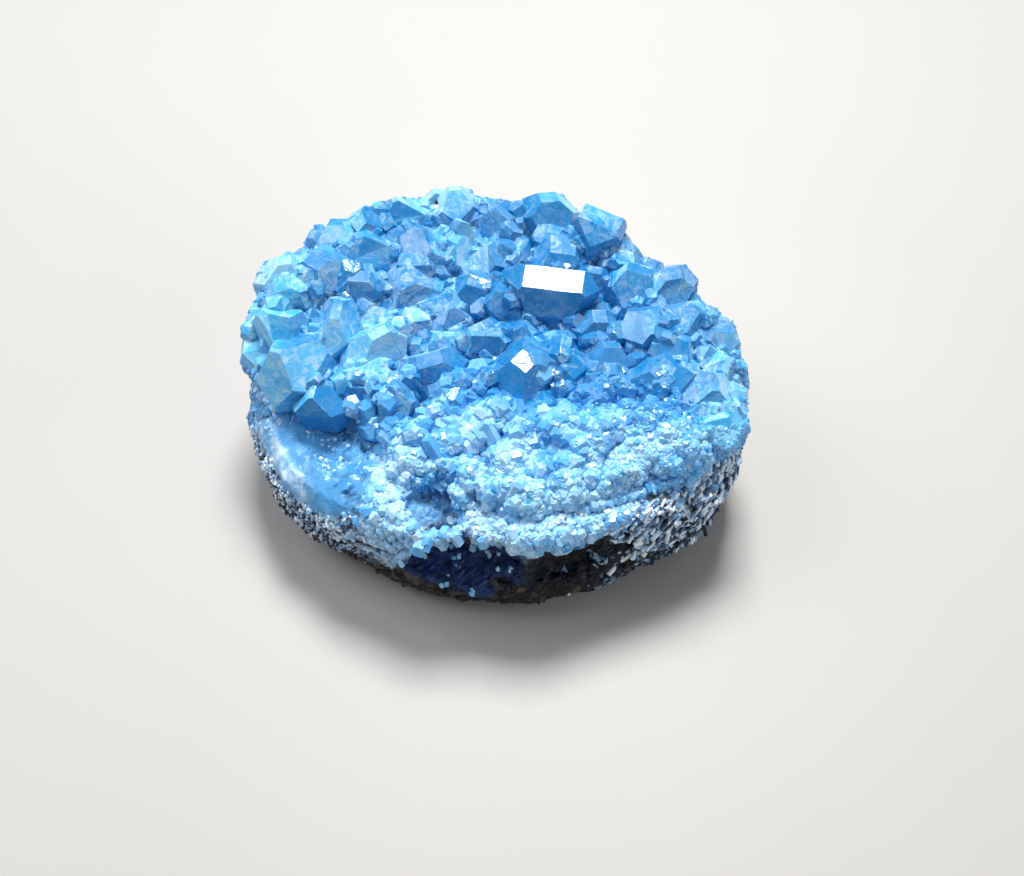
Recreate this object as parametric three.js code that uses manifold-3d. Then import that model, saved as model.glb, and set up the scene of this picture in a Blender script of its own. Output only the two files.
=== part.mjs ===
// Celestite cluster: a broken bowl of granular host rock, lined with pale blue celestite crystals that have
// grown into each other. Millimetres, +Z up. The origin is the middle of the footprint, on the surface that
// the rock rests on, and -Y is the front.

import * as THREE from "three";
import { ConvexGeometry } from "three/addons/geometries/ConvexGeometry.js";
import { ImprovedNoise } from "three/addons/math/ImprovedNoise.js";
import { mergeVertices } from "three/addons/utils/BufferGeometryUtils.js";
import loadManifold from "manifold-3d";

const wasm = await loadManifold();
wasm.setup();

// Driving dimensions of the rock. The lists run anticlockwise from +X, one value every 30 degrees.
const ROCK_REACH = [39.5, 33, 29.5, 33, 36, 38.5, 39.5, 38, 35, 35, 37, 40.5];
const RIM_HEIGHT = [19, 20.5, 22, 22.5, 22.5, 22, 20.5, 18, 18.5, 19.5, 19, 18.5];
const DISH_FLOOR = 16.5; // height of the hollow's lowest part
const RIM_SHARE = 0.88; // where the rim lies, as a share of the reach
const WALL_PROFILE = [
  // share of the reach and share of the rim's height, from the middle of the base up to the rim
  [0, -0.14],
  [0.36, -0.08],
  [0.62, -0.02],
  [0.8, 0.08],
  [0.92, 0.22],
  [0.985, 0.42],
  [1, 0.63],
  [0.97, 0.86],
  [RIM_SHARE, 1],
];
const FRONT_PROFILE = [
  // the same at the front, where the wall is broken off steeply under the rim
  [0, -0.14],
  [0.4, -0.1],
  [0.7, -0.04],
  [0.86, 0.03],
  [0.93, 0.14],
  [0.93, 0.35],
  [0.905, 0.6],
  [0.9, 0.85],
  [RIM_SHARE, 1],
];
const FRONT = { facing: -1.6, spread: 0.75 }; // the front's middle angle and how far it spreads
const DISH_SHARES = [0.7, 0.46, 0.22, 0]; // the hollow's rings, from the rim to its middle
const ROCK_MESH = { columns: 46, rows: 22 };
const LUMP = { size: 15, height: 2 };
const KNOB = { size: 5, height: 0.9 };
const NOISE_SHIFT = new THREE.Vector3(7.3, 3.1, 5.7); // picks the stretch of noise that is used
// Broken layers: their pitch and depth, the middle angle and the spread of the stretch of wall that shows
// them, their dip towards -X, and the radii between which they set in
const LEDGE = { pitch: 3.6, depth: 1.1, facing: -0.75, spread: 1.15, dip: 0.1, radii: [20, 30] };
const FLOOR_BLOCK = { side: 200, depth: 50 }; // takes off what lies below the resting surface

// Hollows broken into the rock: the middle, the reach along X, Y and Z, and the turn about Z
const PITS = [
  { at: [-4.5, -33, 12.5], reach: [9.5, 5.5, 5.5], turn: -0.1 },
  { at: [13, -33.5, 11.5], reach: [8.5, 5.5, 5], turn: 0.25 },
  { at: [-8, -25.5, 19.5], reach: [5, 6, 3.2], turn: -0.5 },
];
const PIT_ROUGHNESS = { waves: 2.2, height: 0.45 };

// Driving dimensions of the crystals
const CRUST_GAP = 0.35; // clear space between the rock and the crystals on it
const LINING_SHARE = [0.99, 1, 1, 1, 1, 1, 0.99, 0.6, 0.72, 0.76, 0.8, 0.92];
const LINING_EDGE = [3.5, 4, 4.5, 4.5, 4.5, 4.5, 3.5, 0.5, 0.5, 0.5, 0.5, 2.5]; // how thick the edge is
// The bed under the crystals: its thickness, how deep it starts below the hollow's surface, how late it thins
// towards its edge, its mesh, and the share of the mesh's rows that its foot and its top take each
const LINING = { thickness: 5.5, depth: 3, taper: 4, columns: 30, rows: 12, level: 0.4 };
const LINING_ROUGHNESS = { size: 6, height: 2.4 };
const CELL = { a: 8.36, b: 5.35, c: 6.87 }; // celestite's unit cell, of which only the ratios count
const ROOT = 0.6; // how deep a crystal's root goes, as a share of its width
const ROOT_LOSS = 0.7; // the share of that depth that a crystal at the edge lacks
const SEED = 7;
// How far out each kind of face lies: cap, wedge and dome in shares of the height, the others in shares of
// half the width
const FACE_SHARES = {
  cap: [0.86, 1],
  wedge: [1, 1.35],
  dome: [1.05, 1.7],
  prism: [0.8, 1],
  side: [0.7, 0.95],
};

// The large crystals: the foot's place, the width across the prism, the height of the tip over the lining,
// how far the tip leans towards +X and +Y in degrees, and the turn about the crystal's own axis in degrees.
// Two have flat ends of a set size, by shares of their own.
const LARGE_CRYSTALS = [
  { at: [9, 27], width: 10, height: 4.5, lean: [4, 10], spin: 15 },
  { at: [16.5, 22], width: 9.5, height: 5.5, lean: [14, 6], spin: 70 },
  { at: [2, 26], width: 9.5, height: 3.5, lean: [-6, -12], spin: 40 },
  { at: [-6.5, 31], width: 10.5, height: 3, lean: [-3, 14], spin: 100 },
  { at: [-16, 28], width: 10, height: 3, lean: [-8, 8], spin: 20 },
  { at: [-6.5, 21], width: 9, height: 3.5, lean: [4, -8], spin: 60 },
  {
    at: [9.6, 11.2],
    width: 14,
    height: 7.5,
    lean: [0, -9],
    spin: 172,
    own: { cap: 0.8, wedge: 1.3, dome: 1.16 },
  },
  { at: [-14, 13], width: 12, height: 4, lean: [-6, -10], spin: 30 },
  { at: [-3, 13], width: 9, height: 3.5, lean: [6, -16], spin: 75 },
  { at: [-27, 14], width: 11, height: 5, lean: [-10, -6], spin: 50 },
  { at: [-32, 9], width: 8.5, height: 4.5, lean: [-14, 4], spin: 10 },
  { at: [-24.5, 4.5], width: 9, height: 4.5, lean: [6, -8], spin: 85 },
  { at: [-18.5, 1.5], width: 12, height: 4.5, lean: [4, -12], spin: 35 },
  { at: [-31.5, -2.5], width: 13, height: 4.5, lean: [-20, -12], spin: 65 },
  { at: [-2, 4], width: 9, height: 3.5, lean: [-8, -6], spin: 25 },
  {
    at: [4.9, -4.4],
    width: 14,
    height: 6.5,
    lean: [0, -9],
    spin: 50,
    own: { cap: 0.86, wedge: 1.04, dome: 1.15 },
  },
  { at: [17, 5], width: 9.5, height: 3.5, lean: [8, -4], spin: 5 },
  { at: [26, -5], width: 14.5, height: 4, lean: [6, -12], spin: 45 },
  { at: [22.5, 13], width: 10.5, height: 4, lean: [14, 2], spin: 80 },
  { at: [31, 6.5], width: 11, height: 4, lean: [20, 6], spin: 30 },
  { at: [35, -3], width: 8.5, height: 3, lean: [26, -6], spin: 60 },
  { at: [-9.5, -3], width: 10.5, height: 4, lean: [-6, -10], spin: 15 },
  { at: [-6, -11], width: 11, height: 3.5, lean: [-4, -18], spin: 70 },
  { at: [16.5, -7.5], width: 9, height: 3, lean: [6, -10], spin: 40 },
  { at: [-25.5, 22.5], width: 10, height: 3, lean: [-12, 8], spin: 75 },
];
// The smaller crystals that fill the space between: their width at the front and at the back, how far it
// varies, how close they come, how far out they go, how they lean, and how tall they are for their width
const FILL = {
  tries: 3000,
  front: { y: -22, width: 5.8 },
  back: { y: -4, width: 9.6 },
  vary: 0.25,
  spacing: 0.56,
  edge: 0.955,
  lean: 20,
  outward: 26,
  tallness: [0.25, 0.52],
};
const SAME_POINT = 1e-4; // points closer than this are one
const ON_PLANE = 1e-6; // points closer than this lie on a plane

const noise = new ImprovedNoise();
const up = new THREE.Vector3(0, 0, 1);

// Even random numbers from 0 to 1, the same on each run
function randomFrom(seed) {
  let state = seed;
  return () => {
    state = (state + 0x6d2b79f5) | 0;
    let mixed = Math.imul(state ^ (state >>> 15), 1 | state);
    mixed = (mixed + Math.imul(mixed ^ (mixed >>> 7), 61 | mixed)) ^ mixed;
    return ((mixed ^ (mixed >>> 14)) >>> 0) / 2 ** 32;
  };
}

function between([low, high], random) {
  return low + (high - low) * random();
}

// A smooth value between the listed ones, round the whole circle
function around(list, angle) {
  const turn = ((angle / (2 * Math.PI)) * list.length + list.length) % list.length;
  const first = Math.floor(turn);
  const share = turn - first;
  const at = (step) => list[(first + step + list.length) % list.length];
  const curve = new THREE.CubicBezierCurve(
    new THREE.Vector2(0, at(0)),
    new THREE.Vector2(1 / 3, at(0) + (at(1) - at(-1)) / 6),
    new THREE.Vector2(2 / 3, at(1) - (at(2) - at(0)) / 6),
    new THREE.Vector2(1, at(1)),
  );
  return curve.getPoint(share).y;
}

// Height of the smooth hollow at a share of the way from its middle to the rim
function dishHeight(angle, share) {
  const risen = Math.min(share / RIM_SHARE, 1);
  return DISH_FLOOR + (around(RIM_HEIGHT, angle) - DISH_FLOOR) * risen * risen;
}

// A closed mesh as a solid that can be joined and cut
function solidOf(geometry) {
  const bare = geometry.clone();
  bare.deleteAttribute("normal");
  bare.deleteAttribute("uv");
  const merged = mergeVertices(bare, SAME_POINT);
  return new wasm.Manifold(
    new wasm.Mesh({
      numProp: 3,
      vertProperties: merged.attributes.position.array,
      triVerts: new Uint32Array(merged.index.array),
    }),
  );
}

// A solid back as a geometry with flat faces
function geometryOf(solid) {
  const mesh = solid.getMesh();
  const indexed = new THREE.BufferGeometry();
  indexed.setAttribute("position", new THREE.BufferAttribute(mesh.vertProperties, 3));
  indexed.setIndex(new THREE.BufferAttribute(mesh.triVerts, 1));
  const flat = indexed.toNonIndexed();
  flat.computeVertexNormals();
  return flat;
}

function ringPoint(angle, radius, height) {
  return new THREE.Vector3(radius * Math.cos(angle), radius * Math.sin(angle), height);
}

// A ball laid out anew: place(angle, row) gives each point, with row from 0 at the bottom to 1 at the top
function shapedBall({ columns, rows }, place) {
  const ball = new THREE.SphereGeometry(1, columns, rows);
  ball.rotateX(Math.PI / 2);
  ball.deleteAttribute("normal");
  ball.deleteAttribute("uv");
  const shaped = mergeVertices(ball, SAME_POINT);
  const points = shaped.attributes.position;
  const point = new THREE.Vector3();
  for (let i = 0; i < points.count; i += 1) {
    point.fromBufferAttribute(points, i);
    const row = 1 - point.angleTo(up) / Math.PI;
    const placed = place(Math.atan2(point.y, point.x), row);
    points.setXYZ(i, placed.x, placed.y, placed.z);
  }
  return shaped;
}

// The rock's skin: a wall that bulges over a narrow base, a rim, and the hollow that the crystals line
function rockSkin() {
  const dish = DISH_SHARES.map((share) => [share, 1]);
  const [wall, front] = [WALL_PROFILE, FRONT_PROFILE].map(
    (outline) => new THREE.SplineCurve([...outline, ...dish].map((point) => new THREE.Vector2(...point))),
  );
  const rimRow = (WALL_PROFILE.length - 1) / (WALL_PROFILE.length + dish.length - 1);
  const skin = shapedBall(ROCK_MESH, (angle, row) => {
    const along = wall.getPoint(row).lerp(front.getPoint(row), nearness(angle, FRONT));
    const share = Math.max(along.x, 0);
    const height = row > rimRow ? dishHeight(angle, share) : along.y * around(RIM_HEIGHT, angle);
    const radius = share * around(ROCK_REACH, angle);
    return ringPoint(angle, radius, height);
  });
  skin.computeVertexNormals();
  const points = skin.attributes.position;
  const point = new THREE.Vector3();
  const outward = new THREE.Vector3();
  for (let i = 0; i < points.count; i += 1) {
    point.fromBufferAttribute(points, i);
    outward.fromBufferAttribute(skin.attributes.normal, i);
    point.addScaledVector(outward, relief(point));
    points.setXYZ(i, point.x, point.y, point.z);
  }
  return skin;
}

// Smooth noise of a given size and height at a point
function roll({ size, height }, point) {
  return height * noise.noise(...point.clone().divideScalar(size).add(NOISE_SHIFT));
}

// How near an angle is to a facing, from 1 at its middle down to 0
function nearness(angle, { facing, spread }) {
  const turned = Math.atan2(Math.sin(angle - facing), Math.cos(angle - facing));
  return Math.exp(-((turned / spread) ** 2));
}

// How far the rock's surface stands out at a point: lumps, knobs, and ledges where its layers are broken
function relief(point) {
  const angle = Math.atan2(point.y, point.x);
  const layer = (point.z + LEDGE.dip * point.x) / LEDGE.pitch;
  const step = LEDGE.depth * (layer - Math.floor(layer) - 0.5);
  const wall = THREE.MathUtils.smoothstep(Math.hypot(point.x, point.y), ...LEDGE.radii);
  return roll(LUMP, point) + roll(KNOB, point) + wall * step * nearness(angle, LEDGE);
}

// A skin moved outwards by a distance
function swollen(skin, distance) {
  const copy = skin.clone();
  copy.computeVertexNormals();
  const points = copy.attributes.position;
  const point = new THREE.Vector3();
  const outward = new THREE.Vector3();
  for (let i = 0; i < points.count; i += 1) {
    point.fromBufferAttribute(points, i);
    outward.fromBufferAttribute(copy.attributes.normal, i);
    point.addScaledVector(outward, distance);
    points.setXYZ(i, point.x, point.y, point.z);
  }
  return copy;
}

// One rough hollow to be taken out of the rock
function pit({ at, reach, turn }) {
  const ball = new THREE.IcosahedronGeometry(1, 2);
  ball.deleteAttribute("normal");
  ball.deleteAttribute("uv");
  const hollow = mergeVertices(ball, SAME_POINT);
  const points = hollow.attributes.position;
  const point = new THREE.Vector3();
  for (let i = 0; i < points.count; i += 1) {
    point.fromBufferAttribute(points, i);
    const rough = noise.noise(...point.toArray().map((c, axis) => c * PIT_ROUGHNESS.waves + at[axis]));
    point.multiplyScalar(1 + PIT_ROUGHNESS.height * rough);
    points.setXYZ(i, point.x, point.y, point.z);
  }
  return solidOf(hollow.scale(...reach).rotateZ(turn).translate(...at));
}

// Thickness of the bed of celestite, by the angle and the share of the way out to its edge
function liningThickness(angle, out) {
  const edge = around(LINING_EDGE, angle);
  return edge + (LINING.thickness - edge) * (1 - Math.min(out, 1) ** LINING.taper);
}

// The bed of celestite that the crystals stand on: its foot, then its broken edge, then its top
function lining() {
  return shapedBall(LINING, (angle, row) => {
    const out = Math.min(Math.min(row, 1 - row) / LINING.level, 1);
    const risen = THREE.MathUtils.clamp((row - LINING.level) / (1 - 2 * LINING.level), 0, 1);
    const share = out * around(LINING_SHARE, angle);
    const radius = share * around(ROCK_REACH, angle);
    const thick = liningThickness(angle, out);
    const height = dishHeight(angle, share) + THREE.MathUtils.lerp(-LINING.depth, thick, risen);
    const rough = roll(LINING_ROUGHNESS, ringPoint(angle, radius, height));
    return ringPoint(angle, radius + rough * out, height + rough * risen);
  });
}

// One face of a crystal: its direction by Miller indices h, k and l, with the growth axis a along Z
function face(h, k, l, distance) {
  const normal = new THREE.Vector3(k / CELL.b, l / CELL.c, h / CELL.a).normalize();
  return new THREE.Plane(normal, -distance);
}

// The convex body that the faces of a crystal enclose
function crystalBody(faces) {
  const corners = [];
  const edge = new THREE.Vector3();
  faces.forEach((first, i) =>
    faces.slice(i + 1).forEach((second, j) =>
      faces.slice(i + j + 2).forEach((third) => {
        const depth = first.normal.dot(edge.crossVectors(second.normal, third.normal));
        if (Math.abs(depth) < ON_PLANE) return;
        const corner = edge.clone().multiplyScalar(-first.constant);
        corner.addScaledVector(edge.crossVectors(third.normal, first.normal), -second.constant);
        corner.addScaledVector(edge.crossVectors(first.normal, second.normal), -third.constant);
        corner.divideScalar(depth);
        if (faces.every((plane) => plane.distanceToPoint(corner) < ON_PLANE)) corners.push(corner);
      }),
    ),
  );
  return new ConvexGeometry(corners);
}

// One crystal on its foot: a prism of 011 and 001 faces, ended by 210, 101 and 100 faces of uneven size
function crystal({ foot, out, width, height, lean, spin, own }, random) {
  const half = width / 2;
  const root = width * ROOT * (1 - ROOT_LOSS * Math.min(out, 1) ** 2);
  const share = (kind) => own?.[kind] ?? between(FACE_SHARES[kind], random);
  const faces = [face(1, 0, 0, height * share("cap")), face(-1, 0, 0, root)];
  for (const side of [-1, 1]) {
    faces.push(face(0, side, 1, half * share("prism")), face(0, side, -1, half * share("prism")));
    faces.push(face(0, 0, side, half * share("side")));
    const wedge = face(2, side, 0, 0);
    wedge.constant = -wedge.normal.z * height * share("wedge");
    const dome = face(1, 0, side, 0);
    dome.constant = -dome.normal.z * height * share("dome");
    faces.push(wedge, dome);
  }
  const [leanX, leanY] = lean.map(THREE.MathUtils.degToRad);
  const axis = new THREE.Vector3(Math.tan(leanX), Math.tan(leanY), 1).normalize();
  const turn = new THREE.Quaternion().setFromUnitVectors(up, axis);
  turn.multiply(new THREE.Quaternion().setFromAxisAngle(up, THREE.MathUtils.degToRad(spin)));
  const place = new THREE.Matrix4().compose(foot, turn, new THREE.Vector3(1, 1, 1));
  return solidOf(crystalBody(faces).applyMatrix4(place));
}

// The point on top of the lining at a place in plan, and the share of the way out to the lining's edge
function seat(x, y) {
  const angle = Math.atan2(y, x);
  const share = Math.hypot(x, y) / around(ROCK_REACH, angle);
  const out = share / around(LINING_SHARE, angle);
  const height = dishHeight(angle, share) + liningThickness(angle, out);
  return { foot: new THREE.Vector3(x, y, height), out };
}

// Every crystal: the large ones first, then smaller ones wherever there is room left on the lining
function crystals() {
  const random = randomFrom(SEED);
  const placed = LARGE_CRYSTALS.map((large) => ({ ...large, ...seat(...large.at) }));
  const span = Math.max(...ROCK_REACH);
  for (let i = 0; i < FILL.tries; i += 1) {
    const x = between([-span, span], random);
    const y = between([-span, span], random);
    const { foot, out } = seat(x, y);
    const back = THREE.MathUtils.smoothstep(y, FILL.front.y, FILL.back.y);
    const usual = THREE.MathUtils.lerp(FILL.front.width, FILL.back.width, back);
    const width = usual * between([1 - FILL.vary, 1 + FILL.vary], random);
    const near = ({ foot: other, width: wide }) =>
      Math.hypot(other.x - x, other.y - y) < (FILL.spacing * (width + wide)) / 2;
    if (out > FILL.edge || placed.some(near)) continue;
    const outward = FILL.outward * out ** 3;
    const sway = () => between([-FILL.lean, FILL.lean], random);
    const lean = [x, y].map((along) => (outward * along) / Math.hypot(x, y) + sway());
    const height = width * between(FILL.tallness, random);
    placed.push({ foot, out, width, height, lean, spin: between([0, 180], random) });
  }
  return placed.map((one) => crystal(one, random));
}

// The largest of the bodies that a cut leaves
function largestBody(solid) {
  return solid.decompose().reduce((most, body) => (body.volume() > most.volume() ? body : most));
}

function rockSolid(skin) {
  const { side, depth } = FLOOR_BLOCK;
  const floor = new THREE.BoxGeometry(side, side, depth).translate(0, 0, -depth / 2);
  return PITS.reduce((rock, hollow) => rock.subtract(pit(hollow)), solidOf(skin).subtract(solidOf(floor)));
}

function crustSolid(skin) {
  const grown = crystals().reduce((whole, one) => whole.add(one), solidOf(lining()));
  return largestBody(grown.subtract(solidOf(swollen(skin, CRUST_GAP))));
}

function named(name, solid, material) {
  const mesh = new THREE.Mesh(geometryOf(solid), new THREE.MeshStandardMaterial(material));
  mesh.name = name;
  return mesh;
}

const skin = rockSkin();
const cluster = new THREE.Group();
cluster.add(
  named("matrix", rockSolid(skin), { color: 0x9fa9b0, roughness: 0.9, metalness: 0 }),
  named("crystals", crustSolid(skin), { color: 0x86b4dd, roughness: 0.12, metalness: 0 }),
);

// The footprint's middle becomes the origin
const box = new THREE.Box3().setFromObject(cluster);
const middle = box.getCenter(new THREE.Vector3());
cluster.children.forEach((mesh) => mesh.position.set(-middle.x, -middle.y, -box.min.z));

export default cluster;
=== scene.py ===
import math
import random

import bmesh
import bpy
import numpy as np
from mathutils import Matrix, Vector, noise
from mathutils.bvhtree import BVHTree


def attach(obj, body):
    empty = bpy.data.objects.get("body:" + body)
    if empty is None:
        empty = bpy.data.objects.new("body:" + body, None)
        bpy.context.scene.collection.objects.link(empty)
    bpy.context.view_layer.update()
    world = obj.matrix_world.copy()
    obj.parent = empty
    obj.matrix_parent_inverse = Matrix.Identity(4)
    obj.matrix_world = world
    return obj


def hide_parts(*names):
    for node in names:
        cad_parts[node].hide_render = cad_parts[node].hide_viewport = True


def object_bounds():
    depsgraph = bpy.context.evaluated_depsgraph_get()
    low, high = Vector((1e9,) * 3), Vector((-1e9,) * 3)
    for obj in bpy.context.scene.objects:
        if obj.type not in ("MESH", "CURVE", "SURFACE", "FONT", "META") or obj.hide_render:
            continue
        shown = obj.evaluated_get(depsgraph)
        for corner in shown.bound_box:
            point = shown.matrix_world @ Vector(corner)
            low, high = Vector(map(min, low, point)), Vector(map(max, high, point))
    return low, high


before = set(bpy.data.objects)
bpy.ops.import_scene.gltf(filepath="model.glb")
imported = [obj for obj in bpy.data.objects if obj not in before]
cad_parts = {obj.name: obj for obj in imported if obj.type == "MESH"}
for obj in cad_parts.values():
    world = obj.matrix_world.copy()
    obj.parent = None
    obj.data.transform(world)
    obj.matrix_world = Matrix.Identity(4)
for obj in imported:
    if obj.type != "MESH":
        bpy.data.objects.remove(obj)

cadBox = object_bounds()
halfWidth, halfDepth = cadBox[1][0], cadBox[1][1]
scene = bpy.context.scene


# Small helpers
def smoothStep(low, high, value):
    share = min(max((value - low) / (high - low), 0.0), 1.0)
    return share * share * (3 - 2 * share)


def cadCopy(nodeName):
    bm = bmesh.new()
    bm.from_mesh(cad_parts[nodeName].data)
    bmesh.ops.remove_doubles(bm, verts=bm.verts, dist=1e-6)  # the node is loose triangles
    return bm


def looseObject(bm, name):
    mesh = bpy.data.meshes.new(name)
    bm.to_mesh(mesh)
    bm.free()
    made = bpy.data.objects.new(name, mesh)
    scene.collection.objects.link(made)
    return made


def applyModifiers(made):
    depsgraph = bpy.context.evaluated_depsgraph_get()
    fresh = bpy.data.meshes.new_from_object(made.evaluated_get(depsgraph))
    made.modifiers.clear()
    old = made.data
    made.data = fresh
    bpy.data.meshes.remove(old)


def finishPiece(piece, material, slotName, *nodeNames):
    piece.data.materials.clear()
    piece.data.materials.append(material)
    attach(piece, "root")
    if nodeNames:
        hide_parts(*nodeNames)
    print(piece.name, len(piece.data.polygons), "faces")


# Node helpers
def newMaterial(name):
    material = bpy.data.materials.new(name)
    material.use_nodes = True
    tree = material.node_tree
    tree.nodes.clear()
    out = tree.nodes.new("ShaderNodeOutputMaterial")
    shader = tree.nodes.new("ShaderNodeBsdfPrincipled")
    tree.links.new(shader.outputs["BSDF"], out.inputs["Surface"])
    return material, tree, shader, out


def addNode(tree, kind, settings=None, **inputs):
    node = tree.nodes.new(kind)
    for key, value in (settings or {}).items():
        setattr(node, key, value)
    for key, value in inputs.items():
        socket = node.inputs[key.replace("_", " ")]
        if isinstance(value, bpy.types.NodeSocket):
            tree.links.new(value, socket)
        else:
            socket.default_value = value
    return node


def objectPoints(tree, scale=(1, 1, 1), turn=(0, 0, 0)):
    coords = addNode(tree, "ShaderNodeTexCoord")
    mapping = addNode(tree, "ShaderNodeMapping", Vector=coords.outputs["Object"], Scale=scale, Rotation=turn)
    return mapping.outputs["Vector"]


def axisOf(tree, axis):
    coords = addNode(tree, "ShaderNodeTexCoord")
    return addNode(tree, "ShaderNodeSeparateXYZ", Vector=coords.outputs["Object"]).outputs[axis]


def noiseOf(tree, points, scale, detail=4.0, roughness=0.55, distortion=0.0):
    return addNode(tree, "ShaderNodeTexNoise", Vector=points, Scale=scale, Detail=detail,
                   Roughness=roughness, Distortion=distortion).outputs["Fac"]


def rampOf(tree, value, *stops):
    ramp = addNode(tree, "ShaderNodeValToRGB", Fac=value)
    marks = ramp.color_ramp.elements
    while len(marks) < len(stops):
        marks.new(0.5)
    for mark, (place, colour) in zip(marks, stops):
        mark.position = place
        mark.color = (*colour, 1.0)
    return ramp.outputs["Color"]


def rangeOf(tree, value, fromLow, fromHigh, toLow=0.0, toHigh=1.0):
    node = addNode(tree, "ShaderNodeMapRange", {"interpolation_type": "SMOOTHSTEP"}, Value=value,
                   From_Min=fromLow, From_Max=fromHigh, To_Min=toLow, To_Max=toHigh)
    return node.outputs["Result"]


def mixColour(tree, share, first, second):
    node = addNode(tree, "ShaderNodeMix", {"data_type": "RGBA"})
    for socket, value in zip((node.inputs[0], node.inputs[6], node.inputs[7]), (share, first, second)):
        if isinstance(value, bpy.types.NodeSocket):
            tree.links.new(value, socket)
        elif isinstance(value, tuple):
            socket.default_value = (*value, 1.0)
        else:
            socket.default_value = value
    return node.outputs[2]


def mathOf(tree, way, first, second=0.0):
    node = addNode(tree, "ShaderNodeMath", {"operation": way})
    for socket, value in zip(node.inputs, (first, second)):
        if isinstance(value, bpy.types.NodeSocket):
            tree.links.new(value, socket)
        else:
            socket.default_value = value
    return node.outputs[0]


def attributeOf(tree, name):
    return addNode(tree, "ShaderNodeAttribute", {"attribute_name": name}).outputs["Fac"]


def bumpOf(tree, height, distance, strength=1.0, normal=None):
    node = addNode(tree, "ShaderNodeBump", Height=height, Distance=distance, Strength=strength)
    if normal is not None:
        tree.links.new(normal, node.inputs["Normal"])
    return node.outputs["Normal"]


# Celestite: plain transmission, IOR and absorption, with tones by facet, veils, growth lines and bloom
celestiteLook = {
    "clear": 0.3,
    "lift": -0.19,  # lower is deeper in tone
    "ior": 1.62,
    "absorbColour": (0.1, 0.74, 0.99),
    "absorbDensity": 80.0,
    "deep": (0.006, 0.25, 0.62),
    "middle": (0.055, 0.56, 1.0),
    "pale": (0.32, 0.76, 1.0),
    "veil": (0.65, 0.9, 1.0),
}
druseLook = dict(
    celestiteLook,
    clear=0.15,
    lift=0.0,
    deep=(0.02, 0.25, 0.62),
    middle=(0.12, 0.48, 0.92),
    pale=(0.38, 0.72, 1.0),
    veil=(0.64, 0.85, 1.0),
)


def celestiteMaterial(name, look, toneWeight):
    material, tree, shader, out = newMaterial(name)
    points = objectPoints(tree)
    tone = attributeOf(tree, "tone")
    patches = noiseOf(tree, points, 95.0, 3.0)
    body = mathOf(tree, "ADD", mathOf(tree, "MULTIPLY", patches, 1.05 - toneWeight),
                  mathOf(tree, "MULTIPLY", tone, toneWeight))
    # paler towards the sugary front, the left end and the back rim
    front = rangeOf(tree, axisOf(tree, "Y"), -0.002, -0.018)
    left = rangeOf(tree, axisOf(tree, "X"), -0.012, -0.034, 0.0, 0.8)
    back = rangeOf(tree, axisOf(tree, "Y"), 0.02, 0.034, 0.0, 0.8)
    paleness = mathOf(tree, "MAXIMUM", front, mathOf(tree, "MAXIMUM", left, back))
    body = mathOf(tree, "ADD", body, mathOf(tree, "MULTIPLY", paleness, 0.14))
    body = mathOf(tree, "ADD", body, look["lift"])
    colour = rampOf(tree, body, (0.3, look["deep"]), (0.52, look["middle"]), (0.82, look["pale"]))
    veils = noiseOf(tree, objectPoints(tree, (1, 1, 1.8), (0.6, 0.3, 0.2)), 430.0, 6.0, 0.72, 1.0)
    clouds = rangeOf(tree, noiseOf(tree, points, 210.0, 3.0, 0.6, 0.4), 0.5, 0.72, 0.0, 0.5)
    streaks = noiseOf(tree, objectPoints(tree, (1.0, 0.3, 1.0), (0.0, 0.0, 0.6)), 1500.0, 4.0, 0.6)
    streaks = rangeOf(tree, streaks, 0.5, 0.68, 0.0, 0.5)
    specks = rangeOf(tree, noiseOf(tree, points, 2300.0, 2.0), 0.6, 0.74, 0.0, 0.5)
    frost = rangeOf(tree, veils, 0.46, 0.6, 0.0, 0.8)
    for mark in (clouds, streaks, specks):
        frost = mathOf(tree, "MAXIMUM", frost, mark)
    frost = mathOf(tree, "MULTIPLY", frost, rangeOf(tree, tone, 0.0, 1.0, 0.1, 1.0))
    chalk = rangeOf(tree, veils, 0.4, 0.56, 0.3, 1.0)
    chalk = mathOf(tree, "MULTIPLY", chalk, rangeOf(tree, tone, 0.6, 1.0, 0.0, 0.55))
    worn = mathOf(tree, "MULTIPLY", attributeOf(tree, "edge"), rangeOf(tree, veils, 0.42, 0.65, 0.0, 0.45))
    for mark in (chalk, worn):
        frost = mathOf(tree, "MAXIMUM", frost, mark)
    tree.links.new(mixColour(tree, frost, colour, look["veil"]), shader.inputs["Base Color"])
    bloom = mathOf(tree, "ADD", noiseOf(tree, points, 240.0, 2.0), mathOf(tree, "MULTIPLY", tone, 0.35))
    dull = rangeOf(tree, bloom, 0.45, 0.9, 0.2, 0.5)
    gloss = mathOf(tree, "SUBTRACT", 1.0, mathOf(tree, "MULTIPLY", attributeOf(tree, "gloss"), 0.8))
    matte = mathOf(tree, "MULTIPLY", attributeOf(tree, "matte"), 0.75)
    polish = mathOf(tree, "MAXIMUM", mathOf(tree, "MULTIPLY", dull, gloss), matte)
    tree.links.new(polish, shader.inputs["Roughness"])
    lines = addNode(tree, "ShaderNodeTexWave", Vector=objectPoints(tree, turn=(0.5, 0.9, 0.4)), Scale=520.0,
                    Distortion=4.0, Detail=1.0).outputs["Fac"]
    relief = bumpOf(tree, noiseOf(tree, points, 420.0, 1.0), 0.00025, 0.35)
    relief = bumpOf(tree, lines, 0.00002, 0.4, relief)
    relief = bumpOf(tree, noiseOf(tree, points, 1300.0, 2.0), 0.0001, 0.6, relief)
    tree.links.new(relief, shader.inputs["Normal"])
    shader.inputs["Transmission Weight"].default_value = look["clear"]
    shader.inputs["IOR"].default_value = look["ior"]
    inside = addNode(tree, "ShaderNodeVolumeAbsorption", Density=look["absorbDensity"])
    inside.inputs["Color"].default_value = (*look["absorbColour"], 1.0)
    tree.links.new(inside.outputs["Volume"], out.inputs["Volume"])
    return material


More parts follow.
